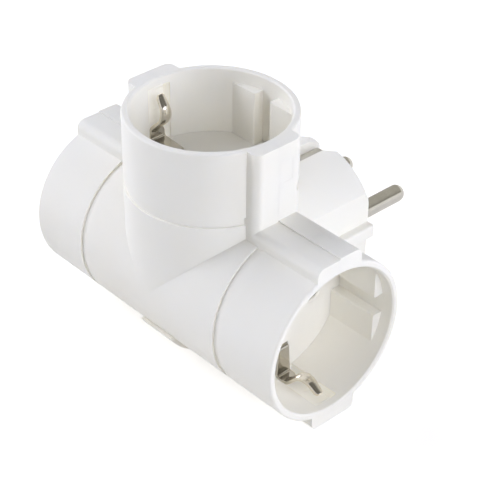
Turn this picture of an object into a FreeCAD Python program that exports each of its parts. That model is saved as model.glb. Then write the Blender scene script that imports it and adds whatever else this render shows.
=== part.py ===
import FreeCAD, Part
import math
import os

from FreeCAD import Vector

os.makedirs("parts", exist_ok=True)

# Three way T adapter: three earthed sockets in one plane and one plug behind them.
# Millimetres. The arms' axes cross at the working origin, +X runs to the right socket,
# +Z up to the top socket and +Y back along the plug pins. The pieces are saved with the
# origin moved to the middle of the plug's contact face.

# Sizes that the mating plug and socket set
pin_r = 2.4
pin_spacing = 19.0
pin_length = 19.5
recess_r = 19.4
recess_depth = 18.0
pin_hole_r = 2.75

# Arms of the housing
arm_wall = 1.8
core_margin = 3.0
rim_round = 0.6
mouth_chamfer = 0.4
cavity_wall = 2.4
groove_from_rim = 18.0
groove_width = 2.0
groove_depth = 0.5

# Ribs that hold the earth clips on two sides of every arm
rib_width = 14.0
rib_rise = 2.4
rib_corner = 2.0
rib_mismatch = 0.35
rib_foot_start = 26.0

# Recess details
slot_width = 6.8
slot_depth = 2.3
slot_below_rim = 2.4
pad_inset = 3.1
pad_below_rim = 3.6
pad_corner = 0.4
channel_width = 5.4

# Face plates
plate_thickness = 3.0
plate_lip = 0.5
plate_clearance = 0.1
hole_chamfer = 0.4

# Alignment lugs at the seam of the two shells
lug_from_rim = 4.6
lug_length = 5.4
lug_reach = 4.0
lug_sink = 0.4
lug_clearance = 0.1

# Low saddle pad under the middle of the housing
saddle_width = 11.4
saddle_rise = 1.0
saddle_top = 11.8

# Plug boss
plug_reach = 39.7
boss_clearance = 0.2
boss_round = 2.3
boss_flat_inset = 3.5
key_width = 3.8
key_rise = 2.3
key_corner = 0.6
earth_groove_width = 5.2
earth_groove_depth = 3.7
earth_groove_start = 21.9
earth_lead_length = 4.1
earth_lead_slope = 0.5
earth_lead_flare = 0.4
boss_room = 1.0
face_wall = 6.7

# Pins
pin_root_r = 2.55
pin_root_height = 0.3
pin_collar_r = 2.9
pin_collar_depth = 0.4
pin_bore_clearance = 0.05
pin_shoulder = 3.2
pin_tail_r = 1.6
pin_head_r = 2.3
pin_head_height = 0.8

# Sheet metal
sheet = 0.8
bend = 0.9
clip_tab = 3.6
clip_width = 5.2
clip_neck = 3.2
clip_tip = 2.0
clip_slot_inset = 7.6
clip_foot_past = 1.0
clip_foot_height = 3.3
clip_foot_round = 1.9
clip_shoulder = 1.0
clip_bow_inset = 3.65
clip_bow_height = 9.5
clip_bow_round = 5.0
clip_tip_inset = 0.5
clip_tip_below_rim = 4.3
clip_slot_clearance = 0.1
yoke_width = 4.6
yoke_end_gap = 1.1
yoke_bar_y = 22.4
yoke_clearance = 0.05

# Contact sleeves and bars
sleeve_bore_clearance = 0.1
sleeve_wall = 0.6
sleeve_length = 15.5
sleeve_gap = 0.3
sleeve_slit = 0.8
sleeve_slit_length = 9.0
sleeve_foot_width = 4.8
sleeve_foot_length = 7.5
bar_width = 5.6
bar_end_gap = 1.6
bar_arm_width = 4.0
bar_arm_shift = 0.6
bar_eye_r = 2.7
live_drop = 5.0
neutral_drop = 8.0
earth_bar_thickness = 1.0
earth_bar_width = 5.0
earth_tongue_width = 4.0
earth_tongue_drop = 6.6
earth_tongue_up = 3.6

# Sizes worked out from those above
arm_r = recess_r + arm_wall
plate_r = recess_r + plate_lip
seat_r = plate_r + plate_clearance
plate_back = seat_r + core_margin
floor_at = plate_back + plate_thickness
arm_reach = floor_at + recess_depth
cavity_r = arm_r - cavity_wall
rib_r = arm_r + rib_rise
slot_r = recess_r + slot_depth
pad_face = recess_r - pad_inset
half_spacing = pin_spacing / 2
clip_slot_r = recess_r - clip_slot_inset
clip_foot_r = recess_r + clip_foot_past
clip_bow_r = recess_r - clip_bow_inset
clip_tip_r = recess_r - clip_tip_inset
boss_r = recess_r - boss_clearance
boss_flat = boss_r - boss_flat_inset
earth_floor = boss_r - earth_groove_depth
face_back = plug_reach - face_wall
tail_start = face_back - pin_shoulder
sleeve_bore = pin_r + sleeve_bore_clearance
sleeve_r = sleeve_bore + sleeve_wall
bar_y = half_spacing + sleeve_r
boss_cavity_r = bar_y + sheet + boss_room
clip_bar_at = plate_back - sheet / 2
big = 4 * arm_reach

X = Vector(1, 0, 0)
Y = Vector(0, 1, 0)
Z = Vector(0, 0, 1)
CROSSING = Vector(0, 0, 0)
ARMS = {"top": 0, "right": 90, "left": -90}


def save(name, shape):
    """Writes one piece with the origin at the middle of the plug's contact face."""
    moved = shape.copy()
    moved.translate(Vector(0, -plug_reach, 0))
    moved.exportStep("parts/" + name + ".step")
    print(name, "solids", len(moved.Solids), "volume %.1f" % moved.Volume, "valid", moved.isValid())


def turned(shape, angle):
    """An arm's piece, built for the top arm, swung about the plug's direction."""
    copy = shape.copy()
    copy.rotate(CROSSING, Y, angle)
    return copy


def block(x0, x1, y0, y1, z0, z1):
    return Part.makeBox(x1 - x0, y1 - y0, z1 - z0, Vector(x0, y0, z0))


def rod(radius, start, end, axis=Z, at=CROSSING):
    """A round bar between two distances along an axis."""
    return Part.makeCylinder(radius, end - start, at + axis * start, axis)


def fuse(shapes):
    return shapes[0].multiFuse(shapes[1:]).removeSplitter()


def rounded(shape, radius, keep):
    """Rounds the edges that the test picks."""
    return shape.makeFillet(radius, [edge for edge in shape.Edges if keep(edge)])


def runs_along(edge, axis):
    """True for a straight edge in line with the axis."""
    if not isinstance(edge.Curve, Part.Line):
        return False
    return abs(edge.Curve.Direction.dot(axis)) > 0.999


def folded_sheet(points, radii, thickness, place, across, width):
    """A folded strip: a centre line with a bend radius at each inner point,
    thickened to both sides in its plane and as wide as asked across it."""
    steps = [b - a for a, b in zip(points, points[1:])]
    lines = [Vector(s).normalize() for s in steps]
    sides = []
    for offset in (thickness / 2, -thickness / 2):
        edges = []
        last = points[0] + Vector(-lines[0].y, lines[0].x, 0) * offset
        for point, radius, a, b in zip(points[1:-1], radii, lines, lines[1:]):
            turn = a.getAngle(b)
            left = 1 if a.cross(b).z > 0 else -1
            cut = radius * math.tan(turn / 2)
            centre = point - a * cut + Vector(-a.y, a.x, 0) * radius * left
            out = Vector(point - centre).normalize()
            reach = radius - offset * left
            first = point - a * cut + Vector(-a.y, a.x, 0) * offset
            final = point + b * cut + Vector(-b.y, b.x, 0) * offset
            edges.append(Part.makeLine(last, first))
            edges.append(Part.Arc(first, centre + out * reach, final).toShape())
            last = final
        end = points[-1] + Vector(-lines[-1].y, lines[-1].x, 0) * offset
        edges.append(Part.makeLine(last, end))
        sides.append(edges)
    near, far = sides
    caps = [Part.makeLine(near[0].firstVertex().Point, far[0].firstVertex().Point),
            Part.makeLine(near[-1].lastVertex().Point, far[-1].lastVertex().Point)]
    face = Part.Face(Part.Wire(Part.__sortEdges__(near + far + caps)))
    face.transformShape(place)
    face.translate(across * (-width / 2))
    return face.extrude(across * width)


def plane_of(first, second):
    """Places drawing coordinates so that they run along two axes of the part."""
    third = first.cross(second)
    return FreeCAD.Matrix(first.x, second.x, third.x, 0,
                          first.y, second.y, third.y, 0,
                          first.z, second.z, third.z, 0,
                          0, 0, 0, 1)


def rib(side, start, back_rise):
    """One hollow rib's outside: a flat band with rounded corners. Its half on the
    back shell stands proud of the other by the shells' mismatch."""
    halves = []
    for low, high, rise in ((-rib_width / 2, 0, 0), (0, rib_width / 2, back_rise)):
        half = block(0, rib_r + rise, low, high, start, arm_reach)
        outer = low if low < 0 else high
        half = rounded(half, rib_corner, lambda e: runs_along(e, Z)
                       and e.CenterOfMass.x > arm_r and abs(e.CenterOfMass.y - outer) < 0.01)
        halves.append(half)
    whole = fuse(halves)
    if side < 0:
        whole = whole.mirror(CROSSING, X)
    return whole


def arm_outside(starts, rises):
    """One arm: a round tube with a rounded rim, a groove round it and a rib on two sides."""
    tube = rounded(rod(arm_r, 0, arm_reach), rim_round,
                   lambda e: abs(e.CenterOfMass.z - arm_reach) < 0.01)
    groove_end = arm_reach - groove_from_rim
    groove = rod(arm_r + 1, groove_end - groove_width, groove_end)
    groove = groove.cut(rod(arm_r - groove_depth, 0, arm_reach))
    core = rod(recess_r, 0, arm_reach - rim_round)
    ribs = [rib(1, starts[0], rises[0]), rib(-1, starts[1], rises[1])]
    return fuse([tube.cut(groove), core] + ribs)


def recess_pads():
    """Flat pads on two sides of the recess, each parted by a channel for the plug's key."""
    pads = rod(recess_r, floor_at, arm_reach - pad_below_rim)
    pads = pads.cut(block(-big, big, -pad_face, pad_face, 0, big))
    pads = pads.cut(block(-channel_width / 2, channel_width / 2, -big, big, 0, big))
    return rounded(pads, pad_corner, lambda e: runs_along(e, Z)
                   and abs(abs(e.CenterOfMass.y) - pad_face) < 0.01
                   and abs(e.CenterOfMass.x) < channel_width)


def arm_inside():
    """All that is hollow in one arm: cavity, plate seat, recess, clip slots and mouth."""
    cavity = rod(cavity_r, 0, plate_back)
    seat = rod(seat_r, plate_back, floor_at)
    recess = rod(recess_r, floor_at, arm_reach + 1).cut(recess_pads())
    slots = block(-slot_r, slot_r, -slot_width / 2, slot_width / 2,
                  floor_at, arm_reach - slot_below_rim)
    mouth = Part.makeCone(recess_r, recess_r + mouth_chamfer + 1, mouth_chamfer + 1,
                          Z * (arm_reach - mouth_chamfer), Z)
    return fuse([cavity, seat, recess, slots, mouth])


def plug_boss():
    """The round plug body with its side flats, keys and earth grooves. Each groove's end
    opens into a shallow vee that falls towards the contact face."""
    boss = rod(boss_r, 0, plug_reach, Y)
    boss = rounded(boss, boss_round, lambda e: abs(e.CenterOfMass.y - plug_reach) < 0.01)
    boss = boss.common(block(-boss_flat, boss_flat, -1, big, -big, big))
    key_reach = boss_flat + key_rise
    keys = block(-key_reach, key_reach, 0, plug_reach, -key_width / 2, key_width / 2)
    keys = rounded(keys, key_corner, lambda e: runs_along(e, Y))
    boss = fuse([boss, keys])
    half_groove = earth_groove_width / 2
    edge = math.sqrt(boss_r ** 2 - half_groove ** 2)
    bottom = edge - earth_lead_flare * half_groove + earth_lead_slope * earth_lead_length
    top = bottom + earth_lead_flare * boss_r
    start = plug_reach - 2 * earth_lead_length
    run = 3 * earth_lead_length
    for side in (1, -1):
        low, high = sorted((side * earth_floor, side * big))
        groove = block(-half_groove, half_groove, earth_groove_start, big, low, high)
        vee = [Vector(0, start, side * bottom), Vector(boss_r, start, side * top),
               Vector(-boss_r, start, side * top)]
        lead = Part.Face(Part.makePolygon(vee + vee[:1]))
        lead = lead.extrude(Vector(0, run, -side * earth_lead_slope * run))
        boss = boss.cut(fuse([groove, lead]))
    return boss


def boss_inside():
    """The plug's cavity, the bores that hold the pins and the earth strip's way through."""
    cavity = rod(boss_cavity_r, 0, face_back, Y)
    cuts = [cavity]
    for side in (1, -1):
        centre = Vector(side * half_spacing, 0, 0)
        collar_end = plug_reach - pin_collar_depth
        cuts.append(rod(pin_collar_r + pin_bore_clearance, 0, collar_end, Y, centre))
        cuts.append(rod(pin_root_r + pin_bore_clearance, 0, plug_reach + 1, Y, centre))
    half = sheet / 2 + yoke_clearance
    wide = yoke_width / 2 + yoke_clearance
    cuts.append(block(-wide, wide, yoke_bar_y - half, yoke_bar_y + half + bend,
                      -earth_floor - sheet, earth_floor + sheet))
    return fuse(cuts)


def saddle():
    """The low raised pad under the middle of the housing."""
    pad = rod(arm_r + saddle_rise, -saddle_width / 2, saddle_width / 2, X)
    return pad.common(block(-big, big, -big, big, -big, -saddle_top))


def seam_boxes(grow, sink, low):
    """The alignment lugs of all six ribs, or with some growth the notches for them."""
    boxes = []
    far = arm_reach - lug_from_rim + grow
    near = arm_reach - lug_from_rim - lug_length - grow
    for side in (1, -1):
        first, last = sorted((side * slot_r, side * (rib_r - sink)))
        for angle in ARMS.values():
            boxes.append(turned(block(first, last, low, lug_reach + grow, near, far), angle))
    return boxes


def housing():
    """Front and back shell: the whole hollow body parted in the plane of the arms."""
    top = arm_outside((0, 0), (0, 0))
    right = turned(arm_outside((rib_foot_start, 0), (0, rib_mismatch)), ARMS["right"])
    left = turned(arm_outside((0, rib_foot_start), (rib_mismatch, 0)), ARMS["left"])
    body = fuse([top, right, left, plug_boss(), saddle()])
    hollow = fuse([turned(arm_inside(), angle) for angle in ARMS.values()] + [boss_inside()])
    body = body.cut(hollow)
    front = body.common(block(-big, big, -big, 0, -big, big))
    back = body.common(block(-big, big, 0, big, -big, big))
    front = fuse([front] + seam_boxes(0, lug_sink, -1))
    back = back.cut(Part.makeCompound(seam_boxes(lug_clearance, -1, -1)))
    return front, back


def face_plate():
    """The floor of one socket with its two pin holes and the earth clip's two slots."""
    plate = rod(plate_r, plate_back, floor_at)
    for side in (1, -1):
        centre = Vector(0, side * half_spacing, 0)
        hole = rod(pin_hole_r, 0, big, Z, centre)
        entry = Part.makeCone(pin_hole_r, pin_hole_r + hole_chamfer + 1, hole_chamfer + 1,
                              centre + Z * (floor_at - hole_chamfer), Z)
        half = sheet / 2 + clip_slot_clearance
        wide = clip_tab / 2 + clip_slot_clearance
        x = side * clip_slot_r
        slot = block(x - half, x + half, -wide, wide, 0, big)
        plate = plate.cut(fuse([hole, entry])).cut(slot)
        above = x + side * half
        below = x - side * half
        plate = plate.makeChamfer(bend - sheet / 2, [
            e for e in plate.Edges if runs_along(e, Y)
            and ((abs(e.CenterOfMass.x - above) < 0.01 and abs(e.CenterOfMass.z - floor_at) < 0.01)
                 or (abs(e.CenterOfMass.x - below) < 0.01 and abs(e.CenterOfMass.z - plate_back) < 0.01))])
    return plate


def earth_clip():
    """One folded strip: it passes under the face plate, comes up through two slots, lies
    outward on the plate and stands up in each wall slot as a bowed, tapered spring."""
    lying = floor_at + sheet / 2
    tip = Vector(clip_tip_r, arm_reach - clip_tip_below_rim, 0)
    bow = Vector(clip_bow_r, floor_at + clip_bow_height, 0)
    foot = Vector(clip_foot_r, floor_at + clip_foot_height, 0)
    corner = Vector(clip_foot_r, lying, 0)
    over = Vector(clip_slot_r, lying, 0)
    under = Vector(clip_slot_r, clip_bar_at, 0)
    half = [tip, bow, foot, corner, over, under]
    radii = [clip_bow_round, clip_foot_round, clip_foot_round, bend, bend]
    points = half + [Vector(-p.x, p.y, 0) for p in reversed(half)]
    strip = folded_sheet(points, radii + radii[::-1], sheet, plane_of(X, Z), Y, clip_width)
    widths = [(clip_width / 2, 0), (clip_width / 2, foot.y - clip_shoulder),
              (clip_neck / 2, foot.y), (clip_neck / 2, bow.y), (clip_tip / 2, tip.y + sheet)]
    outline = [Vector(-big, w, z) for w, z in widths]
    outline += [Vector(-big, -w, z) for w, z in reversed(widths)]
    upright = Part.Face(Part.makePolygon(outline + [outline[0]])).extrude(X * 2 * big)
    edge = [Vector(-clip_foot_r, clip_width / 2, 0), Vector(-clip_slot_r, clip_tab / 2, 0),
            Vector(clip_slot_r, clip_tab / 2, 0), Vector(clip_foot_r, clip_width / 2, 0)]
    edge = [edge[0] - X * clip_foot_r] + edge + [edge[-1] + X * clip_foot_r]
    edge += [Vector(p.x, -p.y, 0) for p in reversed(edge)]
    plan = Part.Face(Part.makePolygon(edge + [edge[0]])).extrude(Z * big)
    return strip.common(upright).common(plan)


def plug_yoke():
    """The plug's earth strip: one U with a leg in each groove and a bar through the boss."""
    leg = earth_floor + sheet / 2
    front = plug_reach - yoke_end_gap
    points = [Vector(front, leg, 0), Vector(yoke_bar_y, leg, 0),
              Vector(yoke_bar_y, -leg, 0), Vector(front, -leg, 0)]
    return folded_sheet(points, [bend, bend], sheet, plane_of(Y, Z), X, yoke_width)


def plug_pin(side):
    """A solid round pin with a ball end, a collar in the face wall and a riveted tail."""
    centre = Vector(side * half_spacing, 0, 0)
    tip = plug_reach + pin_length - pin_r
    shaft = rod(pin_r, tail_start, tip, Y, centre)
    ball = Part.makeSphere(pin_r, centre + Y * tip)
    low = plug_reach - pin_collar_depth
    high = plug_reach + pin_root_height
    root = Part.makeCone(pin_root_r, pin_r, high - low, centre + Y * low, Y)
    collar = rod(pin_collar_r, face_back, plug_reach - pin_collar_depth, Y, centre)
    tail = rod(pin_tail_r, tail_start - sheet, tail_start, Y, centre)
    head_end = tail_start - sheet
    head = rod(pin_head_r, head_end - pin_head_height, head_end, Y, centre)
    return fuse([shaft, ball, root, collar, tail, head])


def contact_bar(side, drop):
    """One pole's bar: a flat T that carries three sleeves, and a folded arm to its pin."""
    half = bar_width / 2
    reach = plate_back - bar_end_gap
    near = side * bar_y
    low, high = sorted((near, near + side * sheet))
    cross = block(-reach, reach, low, high, -half, half)
    stem = block(-half, half, low, high, 0, reach)
    level = tail_start - sheet / 2
    mid = (low + high) / 2
    points = [Vector(mid, 0, 0), Vector(mid, -drop, 0),
              Vector(level, -drop, 0), Vector(level, 0, 0)]
    arm = folded_sheet(points, [bend, bend], sheet, plane_of(Y, Z), X, bar_arm_width)
    arm.translate(X * side * (half_spacing - bar_arm_shift))
    pin_at = Vector(side * half_spacing, 0, 0)
    eye = rod(bar_eye_r, tail_start - sheet, tail_start, Y, pin_at)
    bar = fuse([cross, stem, arm, eye])
    return bar.cut(rod(pin_tail_r, tail_start - 2 * sheet, tail_start + sheet, Y, pin_at))


def contact_sleeve(side):
    """A split tube that grips a pin, with a flat foot on its pole's bar."""
    end = plate_back - sleeve_gap
    start = end - sleeve_length
    centre = Vector(0, side * half_spacing, 0)
    low, high = sorted((side * bar_y, side * (bar_y - sleeve_wall)))
    foot_half = sleeve_foot_width / 2
    foot = block(-foot_half, foot_half, low, high, start, start + sleeve_foot_length)
    sleeve = fuse([rod(sleeve_r, start, end, Z, centre), foot])
    sleeve = sleeve.cut(rod(sleeve_bore, start - 1, end + 1, Z, centre))
    slit = block(-big, big, side * half_spacing - sleeve_slit / 2,
                 side * half_spacing + sleeve_slit / 2, end - sleeve_slit_length, end + 1)
    return sleeve.cut(slit)


def earth_bar():
    """The earth bar: a flat T between the three clips, with a tongue to the plug's yoke."""
    half = earth_bar_width / 2
    reach = plate_back - sheet
    y = earth_bar_thickness / 2
    cross = block(-reach, reach, -y, y, -half, half)
    stem = block(-half, half, -y, y, 0, reach)
    level = yoke_bar_y - sheet
    points = [Vector(0, 0, 0), Vector(0, -earth_tongue_drop, 0),
              Vector(level, -earth_tongue_drop, 0),
              Vector(level, -earth_tongue_drop + earth_tongue_up, 0)]
    tongue = folded_sheet(points, [bend, bend], sheet, plane_of(Y, Z), X, earth_tongue_width)
    return fuse([cross, stem, tongue])


front_shell, back_shell = housing()
save("front_shell", front_shell)
save("back_shell", back_shell)

plate = face_plate()
clip = earth_clip()
live_sleeve = contact_sleeve(1)
neutral_sleeve = contact_sleeve(-1)
for arm, angle in ARMS.items():
    save("face_plate_" + arm, turned(plate, angle))
    save("earth_clip_" + arm, turned(clip, angle))
    save("live_sleeve_" + arm, turned(live_sleeve, angle))
    save("neutral_sleeve_" + arm, turned(neutral_sleeve, angle))

save("live_bar", contact_bar(1, live_drop))
save("neutral_bar", contact_bar(-1, neutral_drop))
save("earth_bar", earth_bar())
save("plug_earth_yoke", plug_yoke())
save("live_pin", plug_pin(1))
save("neutral_pin", plug_pin(-1))
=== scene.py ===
import math

import bpy
import numpy as np
from mathutils import Matrix, Vector


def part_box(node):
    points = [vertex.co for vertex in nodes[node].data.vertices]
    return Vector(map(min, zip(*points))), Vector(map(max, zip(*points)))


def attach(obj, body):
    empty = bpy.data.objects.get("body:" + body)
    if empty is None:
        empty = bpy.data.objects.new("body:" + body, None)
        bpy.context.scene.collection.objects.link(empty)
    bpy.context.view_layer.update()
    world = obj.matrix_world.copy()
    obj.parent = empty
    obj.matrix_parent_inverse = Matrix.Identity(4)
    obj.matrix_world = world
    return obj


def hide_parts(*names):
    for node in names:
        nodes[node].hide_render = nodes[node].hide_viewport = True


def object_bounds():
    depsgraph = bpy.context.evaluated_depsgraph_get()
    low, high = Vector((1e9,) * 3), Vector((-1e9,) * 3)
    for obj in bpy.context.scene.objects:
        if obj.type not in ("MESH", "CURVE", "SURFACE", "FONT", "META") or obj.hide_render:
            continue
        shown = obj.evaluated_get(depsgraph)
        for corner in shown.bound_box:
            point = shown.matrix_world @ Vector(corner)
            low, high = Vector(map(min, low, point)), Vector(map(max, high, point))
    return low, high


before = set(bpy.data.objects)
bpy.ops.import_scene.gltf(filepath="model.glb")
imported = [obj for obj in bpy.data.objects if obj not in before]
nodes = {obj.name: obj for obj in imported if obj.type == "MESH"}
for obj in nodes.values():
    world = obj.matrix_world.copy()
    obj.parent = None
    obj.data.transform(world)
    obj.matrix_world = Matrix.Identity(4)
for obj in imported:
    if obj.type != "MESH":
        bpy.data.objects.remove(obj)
cad_low, cad_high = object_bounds()

# Front and back shell
# Two glossy injection moulded halves in off white plastic, closed on each other in the
# plane of the three arms. Moulding leaves a faint sink and flow texture on the skin.

mm = 0.001
clip_low, clip_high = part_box("earth_clip_top")
arm_plane = (clip_low.y + clip_high.y) / 2
recess_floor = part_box("face_plate_top")[1].z
slot_out = 20.6 * mm
slot_half_depth = 1.24 * mm
slot_half_width = 3.5 * mm
slot_end = cad_high.z - 2.4 * mm
slot_margin = 0.1 * mm
# Painted light in the earth clip slots: its tone and strength.
painted_glow_tone = (1.0, 0.99, 0.965, 1)
painted_glow_strength = 0.15
cream = (0.925, 0.893, 0.795)
off_white = (0.945, 0.918, 0.832)
peel_depth = 0.08 * mm
light_depth = 0.6 * mm


def new_material(name):
    """An empty node material with its shader, ready for a finish to be wired in."""
    material = bpy.data.materials.new(name)
    material.use_nodes = True
    tree = material.node_tree
    shader = tree.nodes["Principled BSDF"]
    return material, tree, shader


def object_noise(tree, scale, detail=3.0, roughness=0.5, stretch=(1, 1, 1)):
    """Noise in object space, in lumps per metre, stretched along the axes if asked."""
    place = tree.nodes.new("ShaderNodeTexCoord")
    mapping = tree.nodes.new("ShaderNodeMapping")
    mapping.inputs["Scale"].default_value = stretch
    noise = tree.nodes.new("ShaderNodeTexNoise")
    noise.inputs["Scale"].default_value = scale
    noise.inputs["Detail"].default_value = detail
    noise.inputs["Roughness"].default_value = roughness
    tree.links.new(place.outputs["Object"], mapping.inputs["Vector"])
    tree.links.new(mapping.outputs["Vector"], noise.inputs["Vector"])
    return noise.outputs["Fac"]


def ramp(tree, value, low, high, dark, light):
    """A colour that runs from dark to light as the value goes from low to high."""
    node = tree.nodes.new("ShaderNodeValToRGB")
    node.color_ramp.elements[0].position = low
    node.color_ramp.elements[0].color = (*dark, 1)
    node.color_ramp.elements[1].position = high
    node.color_ramp.elements[1].color = (*light, 1)
    tree.links.new(value, node.inputs["Fac"])
    return node.outputs["Color"]


def spread(tree, value, low, high):
    """A value of 0 to 1 moved into the range from low to high."""
    node = tree.nodes.new("ShaderNodeMapRange")
    node.inputs["To Min"].default_value = low
    node.inputs["To Max"].default_value = high
    tree.links.new(value, node.inputs["Value"])
    return node.outputs["Result"]


def bump(tree, shader, height, strength, distance):
    """Bends the shader's normal by a height field, the distance in metres."""
    node = tree.nodes.new("ShaderNodeBump")
    node.inputs["Strength"].default_value = strength
    node.inputs["Distance"].default_value = distance
    tree.links.new(height, node.inputs["Height"])
    tree.links.new(node.outputs["Normal"], shader.inputs["Normal"])


def moulded_plastic(name, roughness):
    """Off white moulded plastic: a slow drift in tone, uneven gloss and a faint orange peel."""
    material, tree, shader = new_material(name)
    drift = object_noise(tree, scale=38, detail=2.0)
    colour = ramp(tree, drift, 0.3, 0.7, cream, off_white)
    tree.links.new(colour, shader.inputs["Base Color"])
    patches = object_noise(tree, scale=160, detail=4.0, roughness=0.6)
    uneven = spread(tree, patches, roughness - 0.06, roughness + 0.06)
    tree.links.new(uneven, shader.inputs["Roughness"])
    shader.inputs["IOR"].default_value = 1.5
    shader.inputs["Subsurface Weight"].default_value = 0.4
    shader.inputs["Subsurface Radius"].default_value = (1.0, 0.95, 0.85)
    shader.inputs["Subsurface Scale"].default_value = light_depth
    peel = object_noise(tree, scale=900, detail=2.0)
    bump(tree, shader, peel, strength=0.12, distance=peel_depth)
    return material


def maths(tree, operation, *values):
    """One sum: each value is a number or another node's output."""
    node = tree.nodes.new("ShaderNodeMath")
    node.operation = operation
    for socket, value in zip(node.inputs, values):
        if isinstance(value, (int, float)):
            socket.default_value = value
        else:
            tree.links.new(value, socket)
    return node.outputs[0]


def arm_coordinates(tree):
    """Object coordinates as each arm sees them: how far along the arm, how far out from its
    middle towards a clip, and how far across from the plane of the three arms."""
    place = tree.nodes.new("ShaderNodeTexCoord")
    split = tree.nodes.new("ShaderNodeSeparateXYZ")
    tree.links.new(place.outputs["Object"], split.inputs["Vector"])
    sideways = maths(tree, "ABSOLUTE", split.outputs["X"])
    upward = maths(tree, "ABSOLUTE", split.outputs["Z"])
    along = maths(tree, "MAXIMUM", sideways, upward)
    out = maths(tree, "MINIMUM", sideways, upward)
    across = maths(tree, "ABSOLUTE", maths(tree, "SUBTRACT", split.outputs["Y"], arm_plane))
    return along, out, across


def paint_slot_glow(material):
    """Painted light: an emission glow inside each earth clip's slot only, in place of light
    through the wall.
    """
    tree = material.node_tree
    shader = tree.nodes["Principled BSDF"]
    along, out, across = arm_coordinates(tree)
    middle = (recess_floor + slot_end) / 2
    half_length = (slot_end - recess_floor) / 2 + slot_margin
    deep = maths(tree, "COMPARE", out, slot_out, slot_half_depth)
    between = maths(tree, "LESS_THAN", across, slot_half_width)
    reached = maths(tree, "COMPARE", along, middle, half_length)
    inside = maths(tree, "MULTIPLY", maths(tree, "MULTIPLY", deep, between), reached)
    strength = maths(tree, "MULTIPLY", inside, painted_glow_strength)
    shader.inputs["Emission Color"].default_value = painted_glow_tone
    tree.links.new(strength, shader.inputs["Emission Strength"])


def wear(material, *names):
    """Gives CAD nodes a finish in their material slots."""
    for name in names:
        for place in nodes[name].material_slots:
            place.material = material


housing_plastic = moulded_plastic("housing_plastic", roughness=0.36)
# The housing plastic carries a painted glow in the earth clip slots.
paint_slot_glow(housing_plastic)
wear(housing_plastic, "front_shell", "back_shell")

# Lug faces
# The flat ends of the six lugs that close the shells, moulded on the front one. Each fills
# its window in the back shell and lies level with the rib round it.

lug_gap = 0.1 * mm
lug_far = cad_high.z - 4.6 * mm + lug_gap
lug_near = cad_high.z - 10.0 * mm - lug_gap
lug_reach = 4.0 * mm + lug_gap
lug_thickness = 0.9 * mm
lug_sink = 0.02 * mm
rib_face = 23.6 * mm
rib_step = 0.35 * mm
arm_turns = {"top": 0, "right": 90, "left": -90}
stepped_sides = {"top": 0, "right": -1, "left": 1}


def lug_corners(angle, side, face):
    """Corners of one block under the rib's face, on one side of an arm: out, across and
    along take their two ends each, and the arm is swung about the plug's direction."""
    out, across, along = np.meshgrid([face - lug_thickness, face - lug_sink],
                                     [0, lug_reach], [lug_near, lug_far], indexing="ij")
    out = side * out
    x = out * math.cos(angle) + along * math.sin(angle)
    z = along * math.cos(angle) - out * math.sin(angle)
    return np.stack([x, arm_plane + across, z], 3).reshape(-1, 3)


# A block's corners are numbered 0 to 7: 4 for its outer end, 2 for across and 1 for along.
block_faces = [(0, 1, 3, 2), (4, 6, 7, 5), (0, 4, 5, 1), (2, 3, 7, 6), (0, 2, 6, 4), (1, 5, 7, 3)]
lug_points = []
lug_faces = []
for arm, turn in arm_turns.items():
    for side in (1, -1):
        face = rib_face + (rib_step if side == stepped_sides[arm] else 0)
        corners = lug_corners(math.radians(turn), side, face)
        first = len(corners) * len(lug_points)
        lug_faces += [tuple(first + corner for corner in quad[::side]) for quad in block_faces]
        lug_points.append(corners)
lug_mesh = bpy.data.meshes.new("lug_faces")
lug_mesh.from_pydata(np.concatenate(lug_points), [], lug_faces)
lug_mesh.materials.append(housing_plastic)
lugs = bpy.data.objects.new("lug_faces", lug_mesh)
bpy.context.scene.collection.objects.link(lugs)
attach(lugs, "root")

# Face plates
# The round floors of the three sockets, moulded in the same plastic and dropped into seats
# behind the recess walls before the shells are closed.

plate_plastic = moulded_plastic("plate_plastic", roughness=0.4)
wear(plate_plastic, "face_plate_top", "face_plate_right", "face_plate_left")

# Plug pins
# Two turned solid pins with ball ends, nickel plated and polished along their length, with
# fine rub marks from being pushed into sockets.

rub_depth = 0.03 * mm


def plated_metal(name, dark, light, roughness, stretch, grain):
    """Bright plating with cloudy tone, and fine rub marks drawn out along one axis."""
    material, tree, shader = new_material(name)
    clouds = object_noise(tree, scale=220, detail=3.0, roughness=0.6)
    tree.links.new(ramp(tree, clouds, 0.3, 0.7, dark, light), shader.inputs["Base Color"])
    shader.inputs["Metallic"].default_value = 1.0
    marks = object_noise(tree, grain, detail=4.0, roughness=0.65, stretch=stretch)
    rubbed = spread(tree, marks, roughness - 0.07, roughness + 0.09)
    tree.links.new(rubbed, shader.inputs["Roughness"])
    bump(tree, shader, marks, strength=0.25, distance=rub_depth)
    return material


pin_plating = plated_metal("pin_plating", dark=(0.63, 0.605, 0.54), light=(0.73, 0.705, 0.64),
                           roughness=0.2, stretch=(1, 0.05, 1), grain=2600)
wear(pin_plating, "live_pin", "neutral_pin")

# Plug earth yoke
# One folded strip of nickel plated steel that lies in the two earth grooves of the plug
# and crosses the boss inside. It is duller than the pins.

strip_plating = plated_metal("strip_plating", dark=(0.60, 0.58, 0.53), light=(0.72, 0.70, 0.65),
                             roughness=0.36, stretch=(1, 0.08, 1), grain=1800)
wear(strip_plating, "plug_earth_yoke")

# Inner contacts
# Split brass sleeves and the flat bars of the two poles and the earth, stamped from rolled
# sheet. They stay inside and show only as glints behind the pin holes.

rolled_brass = plated_metal("rolled_brass", dark=(0.58, 0.40, 0.17), light=(0.70, 0.52, 0.24),
                            roughness=0.34, stretch=(0.06, 1, 1), grain=1500)
wear(rolled_brass, "live_bar", "neutral_bar", "earth_bar")
for arm in arm_turns:
    wear(rolled_brass, "live_sleeve_" + arm, "neutral_sleeve_" + arm)

# Earth clips
# Each is one strip of spring steel, nickel plated, folded to pass under the face plate and
# stand up in the recess wall's two slots. Coining gives the arms a crowned section.

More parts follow.
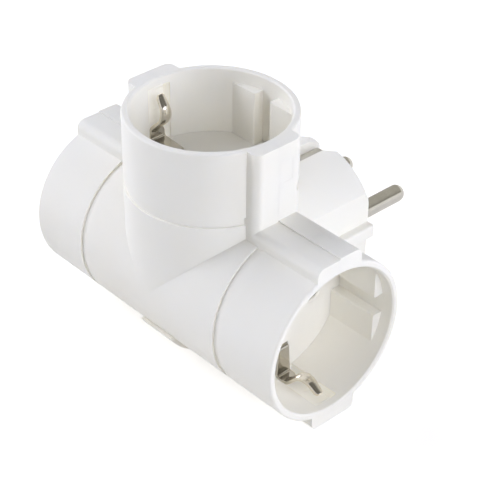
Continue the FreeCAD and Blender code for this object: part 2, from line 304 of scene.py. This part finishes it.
clip_sheet = 0.8 * mm
clip_edge = 0.2 * mm
clip_crown = 0.5 * mm
clip_step = 0.2 * mm
arc_points = 24
face_points = 13
tip_round = 0.9 * mm
# Painted shade on the clips: their colour falls to this share low by the foot and is full higher
# up.
painted_foot_shade = 0.74
painted_shade_from = recess_floor + 3.4 * mm
painted_shade_to = recess_floor + 6.0 * mm
plate_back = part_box("face_plate_top")[0].z
lying = recess_floor + clip_sheet / 2
under = plate_back - clip_sheet / 2
clip_slot = 11.8 * mm
clip_tip = complex(18.6 * mm, recess_floor + 13.7 * mm)
clip_bow = complex(14.9 * mm, recess_floor + 8.4 * mm)
clip_foot = complex(20.4 * mm, recess_floor + 3.3 * mm)
clip_corner = complex(clip_foot.real, lying)
clip_half = [clip_tip, clip_bow, clip_foot, clip_corner,
             complex(clip_slot, lying), complex(clip_slot, under)]
clip_bends = [4.2 * mm, 1.2 * mm, 1.0 * mm, 0.9 * mm, 0.9 * mm]
stand_heights = [clip_foot.imag - 1 * mm, clip_foot.imag, clip_bow.imag, clip_tip.imag]
stand_half_widths = [2.3 * mm, 2.0 * mm, 1.65 * mm, 1.1 * mm]
lying_reaches = [clip_slot, clip_foot.real]
lying_half_widths = [1.7 * mm, 2.3 * mm]
crown_from = clip_foot.imag - 1.5 * mm
crown_run = 3 * mm


def paint_shade(material, share):
    """Paints shade: scales the finish's colour by a share that another node works out."""
    tree = material.node_tree
    socket = tree.nodes["Principled BSDF"].inputs["Base Color"]
    node = tree.nodes.new("ShaderNodeVectorMath")
    node.operation = "SCALE"
    tree.links.new(socket.links[0].from_socket, node.inputs[0])
    tree.links.new(share, node.inputs["Scale"])
    tree.links.new(node.outputs[0], socket)


def bent_line(points, radii, step):
    """Straight runs joined by arcs, in the plane of complex numbers, a step apart. An arc
    starts the radius times the tangent of half the turn before its corner, and turns about
    a centre that lies square to the run on the inner side."""
    runs = [[points[0]]]
    for before, corner, after, radius in zip(points, points[1:], points[2:], radii):
        run = (corner - before) / abs(corner - before)
        onward = (after - corner) / abs(after - corner)
        bend = np.angle(onward / run)
        start = corner - run * radius * math.tan(abs(bend) / 2)
        centre = start + 1j * run * radius * np.sign(bend)
        runs.append(centre + (start - centre) * np.exp(1j * bend * np.linspace(0, 1, arc_points)))
    line = np.concatenate(runs + [[points[-1]]])
    along = np.concatenate([[0], np.cumsum(np.abs(np.diff(line)))])
    even = np.linspace(0, along[-1], int(along[-1] / step))
    return np.interp(even, along, line.real) + 1j * np.interp(even, along, line.imag)


def strip_section(samples):
    """Once round a rounded rectangle. Each row has the side that the point belongs to, -1
    or 1 or between, across and through the strip, and the way that the edge faces there:
    the cosine and the sine of its angle."""
    across = np.linspace(-1, 1, samples)
    flat = np.ones(samples)
    face = np.stack([across, flat, 0 * flat, flat], 1)
    back = np.stack([-across, -flat, 0 * flat, -flat], 1)
    quarter = math.pi / 2
    steps = np.linspace(0, quarter, 5)[1:-1]
    same = np.ones(len(steps))
    ends = []
    for side in (1, -1):
        first = side * quarter
        for through, start in ((side, first), (-side, first - quarter)):
            angle = start - steps
            ends.append(np.stack([side * same, through * same, np.cos(angle), np.sin(angle)], 1))
    return np.concatenate([face, ends[0], ends[1], back, ends[2], ends[3]])


def strip_mesh(name, line, half_width, crown, angle):
    """The strip's skin: point (s, k) is the line's point, moved across by the half width and
    out along the line's normal by half the sheet, less the crown times the share across
    squared. The whole is then swung about the plug's direction to its arm."""
    tangent = np.gradient(line)
    normal = -1j * tangent / np.abs(tangent)
    side_across, side_through, out_across, out_through = strip_section(face_points).T
    inner = (half_width - clip_edge)[:, None]
    across = side_across * inner + out_across * clip_edge
    through = side_through * (clip_sheet / 2 - clip_edge) + out_through * clip_edge
    through = through - crown[:, None] * (across / half_width[:, None]) ** 2
    place = line[:, None] + normal[:, None] * through
    x = place.real * math.cos(angle) + place.imag * math.sin(angle)
    z = place.imag * math.cos(angle) - place.real * math.sin(angle)
    points = np.stack([x, arm_plane + across, z], 2)
    rings, around = points.shape[:2]
    index = np.arange(rings * around).reshape(rings, around)
    next_along = index[1:]
    next_round = np.roll(index, -1, 1)
    quads = np.stack([index[:-1], next_round[:-1], np.roll(next_along, -1, 1), next_along], 2)
    faces = quads.reshape(-1, 4).tolist() + [index[0][::-1].tolist(), index[-1].tolist()]
    mesh = bpy.data.meshes.new(name)
    mesh.from_pydata(points.reshape(-1, 3), [], faces)
    mesh.polygons.foreach_set("use_smooth", np.ones(len(faces), bool))
    return mesh


clip_plating = plated_metal("clip_plating", dark=(0.72, 0.68, 0.60), light=(0.84, 0.80, 0.72),
                            roughness=0.13, stretch=(1, 1, 0.1), grain=1500)
# Painted shade: the clip colour is darker towards the foot, where shade falls deep in the recess.
along_arm = arm_coordinates(clip_plating.node_tree)[0]
painted_shade_share = clip_plating.node_tree.nodes.new("ShaderNodeMapRange")
painted_shade_share.inputs["From Min"].default_value = painted_shade_from
painted_shade_share.inputs["From Max"].default_value = painted_shade_to
painted_shade_share.inputs["To Min"].default_value = painted_foot_shade
clip_plating.node_tree.links.new(along_arm, painted_shade_share.inputs["Value"])
paint_shade(clip_plating, painted_shade_share.outputs["Result"])

other_half = [-point.conjugate() for point in reversed(clip_half)]
clip_line = bent_line(clip_half + other_half, clip_bends + clip_bends[::-1], clip_step)
height = clip_line.imag
reach = np.abs(clip_line.real)
upright = height > lying + 0.1 * mm
stand_width = np.interp(height, stand_heights, stand_half_widths)
lying_width = np.interp(reach, lying_reaches, lying_half_widths)
strip_width = np.where(upright, stand_width, lying_width)
count = np.arange(len(height))
from_tip = np.minimum(count, count[::-1]) * clip_step
tip_share = np.clip(1 - from_tip / tip_round, 0, 1)
strip_width = strip_width * np.sqrt(1 - 0.75 * tip_share ** 2)
rise = np.clip((height - crown_from) / crown_run, 0, 1)
strip_crown = clip_crown * rise * rise * (3 - 2 * rise) * (1 - 0.6 * tip_share)
for arm, turn in arm_turns.items():
    name = "clip_spring_" + arm
    mesh = strip_mesh(name, clip_line, strip_width, strip_crown, math.radians(turn))
    mesh.materials.append(clip_plating)
    clip = bpy.data.objects.new(name, mesh)
    bpy.context.scene.collection.objects.link(clip)
    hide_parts("earth_clip_" + arm)
    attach(clip, "root")

# Floor
# A plain pale floor under the part. It shows white to the camera and in reflections, and
# keeps the part's shadow.

floor_half = 3.0
camera_lift = 0.35
mirror_lift = 0.2
square = ((-1, -1), (1, -1), (1, 1), (-1, 1))
floor_corners = [(x * floor_half, y * floor_half, cad_low.z) for x, y in square]
floor_mesh = bpy.data.meshes.new("floor")
floor_mesh.from_pydata(floor_corners, [], [(0, 1, 2, 3)])
floor = bpy.data.objects.new("floor", floor_mesh)
bpy.context.scene.collection.objects.link(floor)


def seen_ray(tree):
    """1 for rays from the camera, a mirror or glass, and 0 for rays that carry light."""
    path = tree.nodes.new("ShaderNodeLightPath").outputs
    mirrored = maths(tree, "MAXIMUM", path["Is Camera Ray"], path["Is Glossy Ray"])
    return maths(tree, "MAXIMUM", mirrored, path["Is Transmission Ray"])


floor_paint, floor_tree, floor_shader = new_material("floor_paint")
floor_shader.inputs["Base Color"].default_value = (0.82, 0.80, 0.74, 1)
floor_shader.inputs["Roughness"].default_value = 0.9
floor_shader.inputs["Specular IOR Level"].default_value = 0.0
floor_shader.inputs["Emission Color"].default_value = (1, 1, 1, 1)
direct = floor_tree.nodes.new("ShaderNodeLightPath").outputs["Is Camera Ray"]
mirror_share = maths(floor_tree, "MULTIPLY", seen_ray(floor_tree), mirror_lift)
lift = maths(floor_tree, "MULTIPLY_ADD", direct, camera_lift, mirror_share)
floor_tree.links.new(lift, floor_shader.inputs["Emission Strength"])
floor_mesh.materials.append(floor_paint)

# Studio light
# A white room that is seen but gives little light of its own, and soft boxes round the part
# that light it at a plain level. They are a little blue, as the plastic is a little warm.

room_light = 0.1
daylight = (0.85, 0.872, 1.0)
box_size = 0.5
middle = (cad_low + cad_high) / 2

world = bpy.data.worlds.new("studio")
world.use_nodes = True
bpy.context.scene.world = world
room = world.node_tree
lit_tone = tuple(room_light * part for part in daylight)
room_tone = ramp(room, seen_ray(room), 0, 1, lit_tone, (1, 1, 1))
room.links.new(room_tone, room.nodes["Background"].inputs["Color"])


def softbox(name, azimuth, elevation, power, mirrored=False):
    """A square lamp a metre off that looks at the middle of the part from a bearing in
    degrees. Unless it is mirrored, reflections show the room in its place."""
    lamp = bpy.data.lights.new(name, "AREA")
    lamp.shape = "SQUARE"
    lamp.size = box_size
    lamp.energy = power
    lamp.color = daylight
    turn = math.radians(azimuth)
    tilt = math.radians(elevation)
    outward = math.cos(tilt)
    away = Vector((math.sin(turn) * outward, -math.cos(turn) * outward, math.sin(tilt)))
    holder = bpy.data.objects.new(name, lamp)
    facing = away.to_track_quat("Z", "Y").to_matrix().to_4x4()
    holder.matrix_world = Matrix.Translation(middle + away) @ facing
    holder.visible_glossy = mirrored
    bpy.context.scene.collection.objects.link(holder)


softbox("right_light", azimuth=90, elevation=15, power=3.5, mirrored=True)
softbox("front_right_light", azimuth=65, elevation=35, power=2.8)
softbox("left_light", azimuth=-85, elevation=15, power=1.9)
softbox("high_left_light", azimuth=-80, elevation=50, power=3.4)
softbox("front_left_light", azimuth=-50, elevation=25, power=5.7)
softbox("back_right_light", azimuth=140, elevation=20, power=4.1)

# Dark panel
# An arched panel overhead that gives the bright metal something dark to mirror. It shows
# only in reflections: it neither lights nor shades the part.

panel_radius = 1.0
panel_arc = np.radians(np.linspace(25, 185, 33))
panel_ends = np.linspace(-1.0, 1.6, 2)
panel_turn, panel_along = np.meshgrid(panel_arc, panel_ends)
panel_points = np.stack([panel_radius * np.cos(panel_turn), panel_along,
                         panel_radius * np.sin(panel_turn)], 2)
panel_index = np.arange(panel_turn.size).reshape(panel_turn.shape)
panel_faces = np.stack([panel_index[:-1, :-1], panel_index[:-1, 1:],
                        panel_index[1:, 1:], panel_index[1:, :-1]], 2)
panel_mesh = bpy.data.meshes.new("dark_panel")
panel_mesh.from_pydata(panel_points.reshape(-1, 3), [], panel_faces.reshape(-1, 4).tolist())
dark_panel = bpy.data.objects.new("dark_panel", panel_mesh)
bpy.context.scene.collection.objects.link(dark_panel)
panel_cloth, panel_tree, panel_shader = new_material("panel_cloth")
panel_shader.inputs["Base Color"].default_value = (0.02, 0.02, 0.02, 1)
panel_shader.inputs["Roughness"].default_value = 1.0
panel_place = panel_tree.nodes.new("ShaderNodeTexCoord")
panel_split = panel_tree.nodes.new("ShaderNodeSeparateXYZ")
panel_tree.links.new(panel_place.outputs["Object"], panel_split.inputs["Vector"])
leftward = maths(panel_tree, "SUBTRACT", panel_split.outputs["Y"], panel_split.outputs["X"])
across_panel = maths(panel_tree, "ADD", leftward, 0.5)
panel_tone = ramp(panel_tree, across_panel, 0.28, 0.75, (0.13, 0.123, 0.105), (0.46, 0.45, 0.41))
panel_tree.links.new(panel_tone, panel_shader.inputs["Emission Color"])
panel_shader.inputs["Emission Strength"].default_value = 1.0
panel_mesh.materials.append(panel_cloth)
dark_panel.visible_camera = False
dark_panel.visible_diffuse = False
dark_panel.visible_transmission = False
dark_panel.visible_shadow = False

# Camera
# It looks down on the front right of the part from the photograph's own place, through a
# long lens.

camera_azimuth = math.radians(47.0)
camera_elevation = math.radians(35.2)
camera_roll = math.radians(0.77)
camera_aim = Vector((0.00533, -0.03161, 0.00218))
camera_distance = 0.397
lens = bpy.data.cameras.new("camera")
lens.lens = 114.2
lens.sensor_width = 36.0
lens.clip_start = 0.01
lens.clip_end = 20.0
camera = bpy.data.objects.new("camera", lens)
back = Vector((math.sin(camera_azimuth) * math.cos(camera_elevation),
               -math.cos(camera_azimuth) * math.cos(camera_elevation),
               math.sin(camera_elevation)))
level = Vector((math.cos(camera_azimuth), math.sin(camera_azimuth), 0))
right = level * math.cos(camera_roll) + back.cross(level) * math.sin(camera_roll)
up = back.cross(right)
facing = Matrix((right, up, back)).transposed().to_4x4()
camera.matrix_world = Matrix.Translation(camera_aim + back * camera_distance) @ facing
bpy.context.scene.collection.objects.link(camera)
bpy.context.scene.camera = camera
bpy.context.scene.view_settings.view_transform = "Standard"
